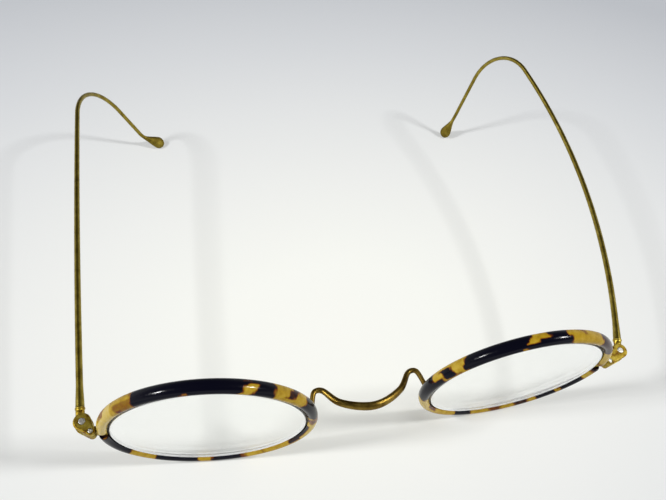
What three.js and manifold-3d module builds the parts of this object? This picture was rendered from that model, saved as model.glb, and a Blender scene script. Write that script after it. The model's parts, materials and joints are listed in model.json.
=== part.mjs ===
import * as THREE from 'three';
import { mergeVertices } from 'three/addons/utils/BufferGeometryUtils.js';
import Module from 'manifold-3d';

// Antique round spectacles: covered wire rims, a W bridge and hooked wire temples.
// Millimetres and degrees. X runs across the front, Y back along the temples, Z up.
// They stand open on a table, on the lowest point of both rims and on both hook tips.

// Front: the rims, seen as round rings, and how they stand
const rimRadius = 19.65;
const coverRadius = 1.4;
const lensSpacing = 64.6;
const clearance = 0.12;

// Metal eyewire inside each cover, grooved for the lens
const wireInset = 0.65;
const wireDepth = 0.9;
const wireWidth = 1.4;

// Lens: hollow ground on both faces, with a bevelled edge
const bevelHeight = 0.62;
const bevelWidth = 1;
const lensEdge = 1.9;
const frontHollow = 0.25;
const backHollow = 0.75;

// W bridge, measured from the middle of the lens centre line
const footHeight = -0.05;
const footAngle = 77;
const footDepth = 1;
const footRadius = 0.48;
const crestBack = 3.95;
const crestRise = 0.65;
const crestHalf = 0.9;
const crestDrop = 0.31;
const shoulderShare = 0.58;
const shoulderBack = 0.15;
const shoulderRise = 1.4;
const saddleForward = 2.4;
const saddleRise = 2.45;
const saddleWidth = 1.6;
const saddleThickness = 1.1;
const saddleSlope = 40;
const bridgeTurn = 3.4;

// Endpieces: two halves that meet at the split, with a screw for the rim and one for the hinge
const splitHeight = 0.8;
const splitGap = 0.12;
const blockHalf = 1.5;
const hingeBack = 1.37;
const hingeEye = 1.65;
const rimScrewOffset = 0.9;
const rimScrewForward = 0.57;
const rimScrewEye = 0.78;
const tongueHalf = 0.5;
const tongueWidth = 1.2;
const counterbore = 0.3;
const headProud = 0.05;
const hingeHead = 0.64;
const hingeShank = 0.42;
const rimHead = 0.46;
const rimShank = 0.28;
const slotWidth = 0.22;
const slotDepth = 0.15;
const endGap = 0.1;

// Temples: a knuckle and collar at the hinge, then one tapered wire, swollen at the collar, with a flat tip
const knuckleRadius = 1.45;
const knuckleHalf = 0.6;
const pocketWall = 0.25;
const stemReach = 0.8;
const stemHalf = 0.5;
const stemWidth = 0.85;
const neckRise = 0.3;
const neckRun = 0.25;
const collarLength = 0.45;
const collarRadius = 0.95;
const swellRadius = 0.84;
const swellLength = 5;
const thickEnd = 0.7;
const thinEnd = 0.5;
const paddleLength = 5;
const paddleWidth = 2.8;
const paddleThickness = 1.4;
const taperPower = 1.2;
const flatShare = 0.4;
const wideShare = 1;
const roundShare = 0.15;
const roundDrop = 0.8;

// Each side was bent a little differently by wear: the rim leans forward and wraps round,
// splay, turn and the wire's outset from the hinge are outward, and rise is upward
const left = {
  name: 'left',
  side: -1,
  lean: 3.2,
  wrap: 6,
  hingeOffset: 2.6,
  crestInset: 1.2,
  wireOutset: 0.5,
  splayStart: 7.1,
  splayEnd: 5.4,
  rise: 0.3,
  shaftLength: 77.4,
  bendLength: 25.6,
  legTurn: -102.2,
  legRise: -59.5,
  tipTurn: -91.4,
  tipRise: -28,
  tipLength: 7.9,
};
const right = {
  name: 'right',
  side: 1,
  lean: 4.8,
  wrap: 0,
  hingeOffset: 4.3,
  crestInset: 0.75,
  wireOutset: 0.25,
  splayStart: 19.4,
  splayEnd: -10.8,
  rise: 2.3,
  shaftLength: 82.5,
  bendLength: 21.7,
  legTurn: -133.4,
  legRise: -66.6,
  tipTurn: -124.4,
  tipRise: -64,
  tipLength: 9.2,
};

// Fineness of the round forms
const ringSteps = 48;
const coverSteps = 10;
const holeSteps = 20;
const wireSides = 8;
const lensRows = 4;
const bridgeSteps = 45;
const shaftSteps = 16;
const bendSteps = 12;
const legSteps = 2;
const tipSteps = 4;
const paddleSteps = 10;
const weld = 1e-4;

// Sizes that follow from the ones above
const wireOuter = rimRadius - wireInset;
const wireInner = wireOuter - wireDepth;
const lensShoulder = wireInner - clearance;
const halfGap = lensSpacing / 2 - rimRadius - coverRadius;
const rimScrewOut = rimRadius + coverRadius + rimScrewOffset;
const stemLength = knuckleRadius + stemReach;
const collarStart = stemLength + neckRise + neckRun;
const buttLength = collarStart + collarLength;

const wasm = await Module();
wasm.setup();

function radians(degrees) {
  return THREE.MathUtils.degToRad(degrees);
}

// Leaves positions only, drops the flat triangles at a pole and turns the faces outward
function closedBody(geometry) {
  const bare = new THREE.BufferGeometry();
  bare.setAttribute('position', geometry.getAttribute('position').clone());
  bare.setIndex(geometry.index);
  const merged = mergeVertices(bare, weld);
  const position = merged.getAttribute('position');
  const index = merged.index.array;
  const faces = [];
  const a = new THREE.Vector3();
  const b = new THREE.Vector3();
  const c = new THREE.Vector3();
  let volume = 0;
  for (let i = 0; i < index.length; i += 3) {
    const [p, q, r] = [index[i], index[i + 1], index[i + 2]];
    if (p !== q && q !== r && r !== p) {
      faces.push([p, q, r]);
      a.fromBufferAttribute(position, p);
      b.fromBufferAttribute(position, q);
      c.fromBufferAttribute(position, r);
      volume += a.dot(b.cross(c));
    }
  }
  merged.setIndex(faces.flatMap(([p, q, r]) => (volume > 0 ? [p, q, r] : [p, r, q])));
  merged.computeVertexNormals();
  return merged;
}

function solid(geometry) {
  const body = closedBody(geometry);
  return new wasm.Manifold(new wasm.Mesh({
    numProp: 3,
    vertProperties: Float32Array.from(body.getAttribute('position').array),
    triVerts: Uint32Array.from(body.index.array),
  }));
}

function shell(manifold) {
  const mesh = manifold.getMesh();
  const geometry = new THREE.BufferGeometry();
  geometry.setAttribute('position', new THREE.BufferAttribute(mesh.vertProperties, 3));
  geometry.setIndex(Array.from(mesh.triVerts));
  geometry.computeVertexNormals();
  return geometry;
}

// Joins rings of points into one skin and caps its ends with the outline, which runs anticlockwise
function skin(rings, outline) {
  const count = outline.length;
  const last = (rings.length - 1) * count;
  const index = [];
  for (let i = 0; i < last; i += count) {
    for (let k = 0; k < count; k++) {
      const here = i + k;
      const next = i + (k + 1) % count;
      index.push(here, next, here + count);
      index.push(next, next + count, here + count);
    }
  }
  for (const [p, q, r] of THREE.ShapeUtils.triangulateShape(outline, [])) {
    index.push(r, q, p);
    index.push(last + p, last + q, last + r);
  }
  const geometry = new THREE.BufferGeometry();
  geometry.setFromPoints(rings.flat());
  geometry.setIndex(index);
  return geometry;
}

// Carries an outline of radius and depth about the lens axis, from one angle to another
function ringBody(outline, side, from, to) {
  const rings = [];
  for (let i = 0; i <= ringSteps; i++) {
    const turn = THREE.MathUtils.lerp(from, to, i / ringSteps);
    rings.push(outline.map((p) => {
      return new THREE.Vector3(side * p.x * Math.cos(turn), p.y, p.x * Math.sin(turn));
    }));
  }
  return skin(rings, outline);
}

// Regular outline with flats above and below, of half width and half height 1
function wireOutline() {
  const points = [];
  for (let k = 0; k < wireSides; k++) {
    const turn = (k + 0.5) / wireSides * 2 * Math.PI;
    points.push(new THREE.Vector2(Math.cos(turn), Math.sin(turn)));
  }
  return points;
}

// One ring of a wire at a station: its point, way, up and half sizes
function wireRing(station) {
  const across = new THREE.Vector3().crossVectors(station.way, station.up).normalize();
  const above = new THREE.Vector3().crossVectors(across, station.way);
  return wireOutline().map((p) => {
    const spot = station.point.clone();
    spot.addScaledVector(across, p.x * station.halfWidth);
    return spot.addScaledVector(above, p.y * station.halfHeight);
  });
}

function wireBody(stations) {
  return skin(stations.map(wireRing), wireOutline());
}

function cylinder(radius, low, high) {
  const geometry = new THREE.CylinderGeometry(radius, radius, high - low, holeSteps);
  geometry.rotateX(Math.PI / 2);
  return geometry.translate(0, 0, (low + high) / 2);
}

// Height of a lens centre when its rim stands on the table
function lensHeight(spec) {
  return rimRadius * Math.cos(radians(spec.lean)) + coverRadius;
}

// Middle of the hinge in a half's own frame
function hingeSpot(spec) {
  const out = rimRadius + coverRadius + spec.hingeOffset;
  return new THREE.Vector3(spec.side * out, hingeBack, splitHeight);
}

// Direction in a half's own frame from its outward turn and its rise
function direction(side, turn, rise) {
  const flat = Math.cos(radians(rise));
  return new THREE.Vector3(
    side * Math.sin(radians(turn)) * flat,
    Math.cos(radians(turn)) * flat,
    Math.sin(radians(rise)),
  );
}

// The lens is turned from its profile: hollow front, bevelled edge, hollow back
function lensGeometry() {
  const front = [];
  const back = [];
  for (let i = 0; i <= lensRows; i++) {
    const share = i / lensRows;
    front.push(new THREE.Vector2(share * lensShoulder, frontHollow * (1 - share ** 2) - lensEdge / 2));
    back.unshift(new THREE.Vector2(share * lensShoulder, lensEdge / 2 - backHollow * (1 - share ** 2)));
  }
  const bevel = [
    new THREE.Vector2(lensShoulder, -bevelWidth / 2),
    new THREE.Vector2(lensShoulder + bevelHeight, 0),
    new THREE.Vector2(lensShoulder, bevelWidth / 2),
  ];
  return closedBody(new THREE.LatheGeometry([...front, ...bevel, ...back], ringSteps));
}

// The eyewire is a square wire with a groove for the bevel, open at the split
function eyewireGeometry(side) {
  const half = wireWidth / 2;
  const outline = [
    new THREE.Vector2(wireInner, -half),
    new THREE.Vector2(wireOuter, -half),
    new THREE.Vector2(wireOuter, half),
    new THREE.Vector2(wireInner, half),
    new THREE.Vector2(wireInner, bevelWidth / 2),
    new THREE.Vector2(wireInner + bevelHeight, 0),
    new THREE.Vector2(wireInner, -bevelWidth / 2),
  ];
  const split = Math.asin(splitHeight / rimRadius);
  const gap = splitGap / rimRadius;
  return closedBody(ringBody(outline, side, split + gap, split + 2 * Math.PI - gap));
}

// Where a bridge foot lies along the ray that enters the cover, at a distance from the section's centre
function footSpot(side, reach) {
  const radius = rimRadius + reach * Math.cos(radians(footAngle));
  const across = Math.sqrt(radius ** 2 - footHeight ** 2);
  return new THREE.Vector3(-side * across, reach * Math.sin(radians(footAngle)), footHeight);
}

// The cover is a round bead slotted for the eyewire, open at the endpiece and bored for the bridge foot
function coverGeometry(side) {
  const slotHalf = wireWidth / 2 + clearance;
  const mouth = Math.PI - Math.asin(slotHalf / coverRadius);
  const outline = [];
  for (let i = 0; i <= coverSteps; i++) {
    const turn = THREE.MathUtils.lerp(-mouth, mouth, i / coverSteps);
    const radius = rimRadius + coverRadius * Math.cos(turn);
    outline.push(new THREE.Vector2(radius, coverRadius * Math.sin(turn)));
  }
  outline.push(new THREE.Vector2(wireOuter + clearance, slotHalf));
  outline.push(new THREE.Vector2(wireOuter + clearance, -slotHalf));
  const split = Math.asin(splitHeight / rimRadius);
  const above = (tongueHalf + clearance) / rimRadius;
  const below = (blockHalf + clearance) / rimRadius;
  const bead = solid(ringBody(outline, side, split + above, split + 2 * Math.PI - below));
  const near = footSpot(side, -clearance);
  const far = footSpot(side, 2 * coverRadius);
  const bore = footRadius + 2 * clearance;
  const ends = [near, far].map((point) => ({
    point,
    way: far.clone().sub(near).normalize(),
    up: new THREE.Vector3(0, 0, 1),
    halfWidth: bore,
    halfHeight: bore,
  }));
  return shell(bead.subtract(solid(wireBody(ends))));
}

// Outline of two round eyes and the straight sides that touch both
function eyesShape(centreA, radiusA, centreB, radiusB) {
  const way = centreB.clone().sub(centreA);
  const heading = way.angle();
  const open = Math.acos((radiusA - radiusB) / way.length());
  const shape = new THREE.Shape();
  shape.absarc(centreA.x, centreA.y, radiusA, heading + open, heading - open, false);
  shape.absarc(centreB.x, centreB.y, radiusB, heading - open, heading + open, false);
  return shape;
}

// One half of an endpiece; level is 1 for the upper half and -1 for the lower
function endpieceGeometry(spec, level) {
  const { side } = spec;
  const { x, y } = hingeSpot(spec);
  const hinge = new THREE.Vector2(x, y);
  const rimScrew = new THREE.Vector2(side * rimScrewOut, -rimScrewForward);
  const inner = splitGap / 2;
  const thickness = blockHalf - inner;
  const block = new THREE.ExtrudeGeometry(eyesShape(hinge, hingeEye, rimScrew, rimScrewEye), {
    depth: thickness,
    bevelEnabled: false,
    curveSegments: holeSteps / 2,
  });
  block.translate(0, 0, level > 0 ? inner : -blockHalf);
  const tongueIn = wireOuter + 2 * clearance;
  const tongueEnd = level > 0 ? tongueHalf : blockHalf;
  const tongue = new THREE.BoxGeometry(rimScrewOut - tongueIn, tongueWidth, tongueEnd - inner);
  tongue.translate(side * (rimScrewOut + tongueIn) / 2, 0, level * (tongueEnd + inner) / 2);
  const pocket = hinge.distanceTo(rimScrew) - rimShank - clearance - pocketWall;
  const pocketHalf = knuckleHalf + clearance;
  const past = 2 * blockHalf;
  const cuts = [
    cylinder(pocket, -pocketHalf, pocketHalf).translate(hinge.x, hinge.y, 0),
    cylinder(hingeShank + clearance, -past, past).translate(hinge.x, hinge.y, 0),
    cylinder(rimShank + clearance, -past, past).translate(rimScrew.x, rimScrew.y, 0),
  ];
  if (level > 0) {
    const floor = blockHalf - counterbore;
    cuts.push(cylinder(hingeHead + clearance, floor, past).translate(hinge.x, hinge.y, 0));
    cuts.push(cylinder(rimHead + clearance, floor, past).translate(rimScrew.x, rimScrew.y, 0));
  }
  let body = solid(block).add(solid(tongue));
  for (const cut of cuts) {
    body = body.subtract(solid(cut));
  }
  return shell(body);
}

// A slotted screw whose head lies in the counterbore of the upper half
function screwGeometry(head, shank) {
  const top = blockHalf + headProud;
  const under = blockHalf - counterbore + clearance / 2;
  const end = endGap - blockHalf;
  const profile = [
    new THREE.Vector2(0, end),
    new THREE.Vector2(shank, end),
    new THREE.Vector2(shank, under),
    new THREE.Vector2(head, under),
    new THREE.Vector2(head, top),
    new THREE.Vector2(0, top),
  ];
  const turned = new THREE.LatheGeometry(profile, holeSteps).rotateX(Math.PI / 2);
  const slotLength = 3 * head;
  const slot = new THREE.BoxGeometry(slotLength, slotWidth, 2 * slotDepth).translate(0, 0, top);
  return shell(solid(turned).subtract(solid(slot)));
}

// A point on a temple's first stretch, at a distance from the hinge along the wire
function firstSpot(spec, distance) {
  const beside = direction(spec.side, spec.splayStart + 90, 0).multiplyScalar(spec.wireOutset);
  return beside.addScaledVector(direction(spec.side, spec.splayStart, spec.rise), distance);
}

// The temple's hinge end: a bored knuckle with a short stem and a collar
function buttGeometry(spec) {
  const way = direction(spec.side, spec.splayStart, spec.rise);
  const up = new THREE.Vector3(0, 0, 1);
  const station = (distance, halfWidth, halfHeight) => ({
    point: firstSpot(spec, distance),
    way,
    up,
    halfWidth,
    halfHeight,
  });
  const stem = wireBody([
    station(knuckleRadius / 2, stemWidth, stemHalf),
    station(stemLength, stemWidth, stemHalf),
    station(stemLength + neckRise, swellRadius, swellRadius),
    station(collarStart - clearance, swellRadius, swellRadius),
    station(collarStart, collarRadius, collarRadius),
    station(buttLength, collarRadius, collarRadius),
  ]);
  const knuckle = cylinder(knuckleRadius, -knuckleHalf, knuckleHalf);
  const bore = cylinder(hingeShank + clearance, -blockHalf, blockHalf);
  return shell(solid(knuckle).add(solid(stem)).subtract(solid(bore)));
}

// Stations along a temple wire, bent evenly from one direction to the next on each stretch
function templeStations(spec, leg) {
  const start = direction(spec.side, spec.splayStart, spec.rise);
  const end = direction(spec.side, spec.splayEnd, spec.rise);
  const down = direction(spec.side, spec.legTurn, spec.legRise);
  const out = direction(spec.side, spec.tipTurn, spec.tipRise);
  const stretches = [
    { from: start, to: end, length: spec.shaftLength, steps: shaftSteps },
    { from: end, to: down, length: spec.bendLength, steps: bendSteps },
    { from: down, to: down, length: leg, steps: legSteps },
    { from: down, to: out, length: spec.tipLength - paddleLength, steps: tipSteps },
    { from: out, to: out, length: paddleLength, steps: paddleSteps },
  ];
  const total = spec.shaftLength + spec.bendLength + leg + spec.tipLength;
  const point = firstSpot(spec, buttLength + clearance);
  const up = new THREE.Vector3(0, 0, 1);
  const still = new THREE.Quaternion();
  const stations = [];
  let way = start.clone();
  let travelled = 0;
  const place = () => {
    const size = templeSize(travelled, total);
    stations.push({ point: point.clone(), way: way.clone(), up: up.clone(), ...size });
  };
  place();
  for (const { from, to, length, steps } of stretches) {
    const bend = new THREE.Quaternion().setFromUnitVectors(from, to);
    for (let i = 1; i <= steps; i++) {
      const middle = from.clone().applyQuaternion(still.clone().slerp(bend, (i - 0.5) / steps));
      const next = from.clone().applyQuaternion(still.clone().slerp(bend, i / steps));
      point.addScaledVector(middle, length / steps);
      up.applyQuaternion(new THREE.Quaternion().setFromUnitVectors(way, next));
      way = next;
      travelled += length / steps;
      place();
    }
  }
  return stations;
}

// Half sizes of a temple wire: a swollen start, a taper, then a fan-shaped flat tip with a rounded end
function templeSize(travelled, total) {
  const tipShare = (travelled - total) / paddleLength + 1;
  const swell = (swellRadius - thickEnd) * (1 - THREE.MathUtils.smoothstep(travelled, 0, swellLength));
  const ahead = Math.max(1 - travelled / total, 0);
  const taper = THREE.MathUtils.lerp(thinEnd, thickEnd, ahead ** taperPower) + swell;
  const flatten = THREE.MathUtils.smoothstep(tipShare, 0, flatShare);
  const widen = THREE.MathUtils.smoothstep(tipShare, 0, wideShare);
  const past = Math.max(tipShare - 1 + roundShare, 0) / roundShare;
  const rounding = Math.sqrt(1 - roundDrop * past ** 2);
  return {
    halfWidth: rounding * THREE.MathUtils.lerp(taper, paddleThickness / 2, flatten),
    halfHeight: rounding * THREE.MathUtils.lerp(taper, paddleWidth / 2, widen),
  };
}

// The leg of the hook is as long as it needs to be for the tip to reach the table
function templeGeometry(spec) {
  const lean = radians(spec.lean);
  const tableUp = new THREE.Vector3(0, Math.sin(lean), Math.cos(lean));
  const hinge = hingeSpot(spec);
  const heights = templeStations(spec, 0).flatMap(wireRing).map((p) => p.add(hinge).dot(tableUp));
  const fall = -direction(spec.side, spec.legTurn, spec.legRise).dot(tableUp);
  const leg = (lensHeight(spec) + Math.min(...heights)) / fall;
  return closedBody(wireBody(templeStations(spec, leg)));
}

// The bridge runs from foot to crest to saddle and back, thin at the feet and broad at the saddle
function bridgeGeometry(halves) {
  const turn = new THREE.Matrix4().makeRotationZ(radians(bridgeTurn));
  const base = (lensHeight(left) + lensHeight(right)) / 2;
  const spot = (across, back, rise) => {
    return new THREE.Vector3(across, back, rise).applyMatrix4(turn).setZ(base + rise);
  };
  const [leftFoot, rightFoot] = halves.map(({ spec, group }) => {
    const reaches = [coverRadius - footDepth, coverRadius, coverRadius + footRadius];
    return reaches.map((reach) => footSpot(spec.side, reach).applyMatrix4(group.matrix));
  });
  const crest = (spec) => [-crestHalf, 0, crestHalf].map((beside) => {
    const across = halfGap - spec.crestInset + beside;
    return spot(spec.side * across, beside ? crestBack - crestDrop : crestBack, crestRise);
  });
  const shoulder = halfGap * shoulderShare;
  const curve = new THREE.CatmullRomCurve3([
    ...leftFoot,
    ...crest(left).reverse(),
    spot(-shoulder, shoulderBack, shoulderRise),
    spot(0, -saddleForward, saddleRise),
    spot(shoulder, shoulderBack, shoulderRise),
    ...crest(right),
    ...rightFoot.reverse(),
  ]);
  const slope = radians(saddleSlope);
  const face = new THREE.Vector3(0, -Math.sin(slope), Math.cos(slope));
  const stations = [];
  for (let i = 0; i <= bridgeSteps; i++) {
    const share = i / bridgeSteps;
    const swell = Math.sin(Math.PI * share) ** 2;
    stations.push({
      point: curve.getPointAt(share),
      way: curve.getTangentAt(share),
      up: face,
      halfWidth: THREE.MathUtils.lerp(footRadius, saddleWidth / 2, swell),
      halfHeight: THREE.MathUtils.lerp(footRadius, saddleThickness / 2, swell),
    });
  }
  return closedBody(wireBody(stations));
}

// Materials
function metal(colour, roughness) {
  return new THREE.MeshStandardMaterial({ color: colour, roughness, metalness: 1 });
}
const celluloid = () => new THREE.MeshStandardMaterial({ color: 0x5a3a16, roughness: 0.25, metalness: 0 });
const glass = () => {
  return new THREE.MeshStandardMaterial({
    color: 0xf1f5f2,
    roughness: 0.05,
    metalness: 0,
    transparent: true,
    opacity: 0.3,
  });
};
const gold = () => metal(0x9c7d35, 0.35);
const wornSteel = () => metal(0xb9b4a4, 0.4);

function piece(name, geometry, material, parent, place = new THREE.Vector3()) {
  const mesh = new THREE.Mesh(geometry, material);
  mesh.name = name;
  mesh.position.copy(place);
  parent.add(mesh);
}

// Each half of the front is a group at its lens centre, with its temple hinged to it
function halfGroup(spec) {
  const { name, side } = spec;
  const group = new THREE.Group();
  group.position.set(side * lensSpacing / 2, 0, lensHeight(spec));
  group.rotation.set(radians(spec.lean), 0, radians(side * spec.wrap), 'ZXY');
  group.updateMatrix();
  const hinge = hingeSpot(spec);
  const rimScrew = new THREE.Vector3(side * rimScrewOut, -rimScrewForward, splitHeight);
  const split = new THREE.Vector3(0, 0, splitHeight);
  piece(`lens_${name}`, lensGeometry(), glass(), group);
  piece(`eyewire_${name}`, eyewireGeometry(side), gold(), group);
  piece(`rim_cover_${name}`, coverGeometry(side), celluloid(), group);
  piece(`endpiece_upper_${name}`, endpieceGeometry(spec, 1), gold(), group, split);
  piece(`endpiece_lower_${name}`, endpieceGeometry(spec, -1), gold(), group, split);
  piece(`rim_screw_${name}`, screwGeometry(rimHead, rimShank), wornSteel(), group, rimScrew);
  piece(`hinge_screw_${name}`, screwGeometry(hingeHead, hingeShank), wornSteel(), group, hinge);
  piece(`temple_butt_${name}`, buttGeometry(spec), gold(), group, hinge);
  piece(`temple_${name}`, templeGeometry(spec), gold(), group, hinge);
  return { spec, group };
}

const spectacles = new THREE.Group();
const halves = [left, right].map(halfGroup);
for (const { group } of halves) {
  spectacles.add(group);
}
piece('bridge', bridgeGeometry(halves), gold(), spectacles);

// The origin lies under the middle of the standing spectacles
const box = new THREE.Box3().setFromObject(spectacles, true);
const middle = box.getCenter(new THREE.Vector3());
spectacles.position.set(-middle.x, -middle.y, -box.min.z);

export default spectacles;
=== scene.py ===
import json
import math

import bmesh
import bpy
import numpy as np
from mathutils import Matrix, Vector

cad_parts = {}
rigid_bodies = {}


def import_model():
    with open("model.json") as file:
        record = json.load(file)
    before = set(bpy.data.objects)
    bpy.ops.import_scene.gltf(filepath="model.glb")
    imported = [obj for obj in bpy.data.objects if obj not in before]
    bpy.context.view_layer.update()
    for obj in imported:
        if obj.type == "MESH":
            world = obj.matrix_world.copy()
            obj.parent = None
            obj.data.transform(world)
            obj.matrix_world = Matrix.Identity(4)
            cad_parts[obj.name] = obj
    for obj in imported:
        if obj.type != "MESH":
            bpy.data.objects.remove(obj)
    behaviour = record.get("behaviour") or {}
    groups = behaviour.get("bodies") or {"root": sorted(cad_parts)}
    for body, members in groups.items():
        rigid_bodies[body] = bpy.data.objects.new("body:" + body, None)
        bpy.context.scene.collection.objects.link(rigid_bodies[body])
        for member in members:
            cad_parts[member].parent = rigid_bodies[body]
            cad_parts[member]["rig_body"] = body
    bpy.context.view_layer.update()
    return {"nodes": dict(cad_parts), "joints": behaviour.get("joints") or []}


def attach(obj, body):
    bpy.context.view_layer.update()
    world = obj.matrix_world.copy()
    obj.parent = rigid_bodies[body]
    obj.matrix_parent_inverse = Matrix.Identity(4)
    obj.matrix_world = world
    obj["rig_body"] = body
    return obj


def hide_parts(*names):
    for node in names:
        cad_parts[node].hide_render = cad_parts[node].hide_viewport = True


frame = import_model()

metre = 0.001  # shapes are worked out in millimetres, and this brings them to metres
closeBy = 0.0001  # points of an outline nearer than this are one point
weldReach = 0.001  # points of a carved mesh nearer than this are one point
scene = bpy.context.scene
print("frame loaded:", len(frame["nodes"]), "solids")

# How the front stands and how each side was bent, as in the solids but for the slimmer eyewire
front = {
    "rimRadius": 19.65, "beadRadius": 1.4, "spacing": 64.6, "clearance": 0.12,
    "wireOuter": 19.0, "wireInner": 18.7, "wireHalf": 0.7,  # only the wire's lining shows inside the bead
    "grooveDepth": 0.2, "grooveHalf": 0.5, "splitHeight": 0.8, "splitGap": 0.12,
    "blockHalf": 1.5, "tongueHalf": 0.5, "hingeBack": 1.37,
}
splitAngle = math.asin(front["splitHeight"] / front["rimRadius"])  # where the rim is split, beside the hinge
sides = {
    "left": {
        "side": -1, "lean": 3.2, "wrap": 6, "hingeOffset": 2.6, "crestInset": 1.2, "wireOutset": 0.5,
        "splayStart": 7.1, "splayEnd": 5.4, "rise": 0.3, "shaft": 77.4, "bend": 25.6,
        "legTurn": -102.2, "legRise": -59.5, "tipTurn": -91.4, "tipRise": -28, "tip": 7.9,
    },
    "right": {
        "side": 1, "lean": 4.8, "wrap": 0, "hingeOffset": 4.3, "crestInset": 0.75, "wireOutset": 0.25,
        "splayStart": 19.4, "splayEnd": -10.8, "rise": 2.3, "shaft": 82.5, "bend": 21.7,
        "legTurn": -133.4, "legRise": -66.6, "tipTurn": -124.4, "tipRise": -64, "tip": 9.2,
    },
}


def turnAbout(axis, degrees):  # the matrix of a turn about one axis
    return np.array(Matrix.Rotation(math.radians(degrees), 3, axis))


def lensHeight(spec):  # rim radius by the cosine of its lean, plus the bead it stands on
    return front["rimRadius"] * math.cos(math.radians(spec["lean"])) + front["beadRadius"]


# Each half has its own frame at the lens centre, found from the hinge in the record
hingeOf = {joint["child"]: np.array(joint["pos_m"]) / metre for joint in frame["joints"]}
for name, spec in sides.items():
    spec["turn"] = turnAbout("Z", spec["side"] * spec["wrap"]) @ turnAbout("X", spec["lean"])
    reach = front["rimRadius"] + front["beadRadius"] + spec["hingeOffset"]
    spec["hinge"] = np.array([spec["side"] * reach, front["hingeBack"], front["splitHeight"]])
    spec["centre"] = hingeOf["temple_" + name] - spec["turn"] @ spec["hinge"]


def toPart(spec, points):  # turned by the half's lean and wrap, then moved to its lens centre
    return points @ spec["turn"].T + spec["centre"]


def wrapFaces(rows, around):  # quad i, j joins rows i and i+1, and columns j and j+1 that wrap round
    i, j = np.meshgrid(np.arange(rows - 1), np.arange(around), indexing="ij")
    here = i * around
    after = (j + 1) % around
    return np.stack([here + j, here + after, here + around + after, here + around + j], -1).reshape(-1, 4)


def capped(rings):  # rings of points joined by quads, with one flat face over each end ring
    rows, around = rings.shape[:2]
    ends = [list(range(around))[::-1], list(range(rows * around - around, rows * around))]
    return rings.reshape(-1, 3), wrapFaces(rows, around).tolist() + ends


def turned(profile, around):  # (radius, height) carried round z; the ends close on two pole points
    angle = np.linspace(0, 2 * np.pi, around, endpoint=False)
    body = profile[1:-1]
    rings = np.stack([
        body[:, :1] * np.cos(angle),
        body[:, :1] * np.sin(angle),
        body[:, 1:] + 0 * angle,
    ], -1)
    poles = np.array([[0, 0, profile[0, 1]], [0, 0, profile[-1, 1]]])
    rows = len(body)
    j = np.arange(around)
    after = (j + 1) % around
    first = rows * around
    fanA = np.stack([after, j, np.full(around, first)], -1)
    fanB = np.stack([first - around + j, first - around + after, np.full(around, first + 1)], -1)
    points = np.vstack([rings.reshape(-1, 3), poles])
    return points, wrapFaces(rows, around).tolist() + fanA.tolist() + fanB.tolist()


def eased(corners, ease, steps):
    # each corner becomes a parabola that leaves and meets its sides a set distance away, or half a side
    before = np.roll(corners, 1, 0) - corners
    ahead = np.roll(corners, -1, 0) - corners
    lengthA = np.linalg.norm(before, axis=1, keepdims=True)
    lengthB = np.linalg.norm(ahead, axis=1, keepdims=True)
    a = (corners + before * np.minimum(ease / lengthA, 0.5))[:, None]
    b = (corners + ahead * np.minimum(ease / lengthB, 0.5))[:, None]
    t = np.linspace(0, 1, steps)[None, :, None]
    curve = ((1 - t) ** 2 * a + 2 * t * (1 - t) * corners[:, None] + t ** 2 * b).reshape(-1, 2)
    step = np.linalg.norm(curve - np.roll(curve, 1, 0), axis=1)
    return curve[step > closeBy]  # where two parabolas meet at the middle of a side, one point is enough


def aroundLens(profile, side, angle):  # (radius, depth) outline carried about the lens axis
    radius, depth = profile[None, :, 0], profile[None, :, 1]
    cos, sin = np.cos(angle)[:, None], np.sin(angle)[:, None]
    return np.stack([side * radius * cos, depth + 0 * cos, radius * sin], -1)


def wireRings(point, way, up, halfWidth, halfHeight, around):
    # an ellipse across the way at each station: across is way by up, above is across by way
    across = np.cross(way, up)
    across /= np.linalg.norm(across, axis=1, keepdims=True)
    above = np.cross(across, way)
    angle = np.linspace(0, 2 * np.pi, around, endpoint=False)
    wide = (halfWidth[:, None] * np.cos(angle))[..., None] * across[:, None]
    high = (halfHeight[:, None] * np.sin(angle))[..., None] * above[:, None]
    return point[:, None] + wide + high


def newObject(name, points, faces):  # a mesh of the points in metres, with its faces pointing outwards
    mesh = bpy.data.meshes.new(name)
    mesh.from_pydata((points * metre).tolist(), [], faces)
    mesh.validate()
    mesh.calc_loop_triangles()
    corner = np.empty(len(mesh.loop_triangles) * 3, np.int32)
    mesh.loop_triangles.foreach_get("vertices", corner)
    a, b, c = np.moveaxis(points[corner.reshape(-1, 3)], 1, 0)
    if np.einsum("ij,ij", a, np.cross(b, c)) < 0:  # six times the volume: below zero is inside out
        mesh.flip_normals()
    obj = bpy.data.objects.new(name, mesh)
    scene.collection.objects.link(obj)
    return obj


def tarnishRings(obj, dull, around):  # each ring's dullness, the same all round it
    obj.data.attributes.new("tarnish", "FLOAT", "POINT").data.foreach_set("value", np.repeat(dull, around))


def carve(obj, steps):  # unions and cuts in order; the tools are removed after
    for operation, tool in steps:
        step = obj.modifiers.new("carve", "BOOLEAN")
        step.operation = operation
        step.solver = "MANIFOLD"
        step.object = tool
    graph = bpy.context.evaluated_depsgraph_get()
    plain = obj.data
    obj.data = bpy.data.meshes.new_from_object(obj.evaluated_get(graph))
    obj.data.name = obj.name
    obj.data.materials.clear()
    obj.modifiers.clear()
    joined = bmesh.new()
    joined.from_mesh(obj.data)
    bmesh.ops.remove_doubles(joined, verts=joined.verts, dist=weldReach * metre)  # points left on each other
    joined.to_mesh(obj.data)
    joined.free()
    bpy.data.meshes.remove(plain)
    for operation, tool in steps:
        used = tool.data
        bpy.data.objects.remove(tool)
        bpy.data.meshes.remove(used)


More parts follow.
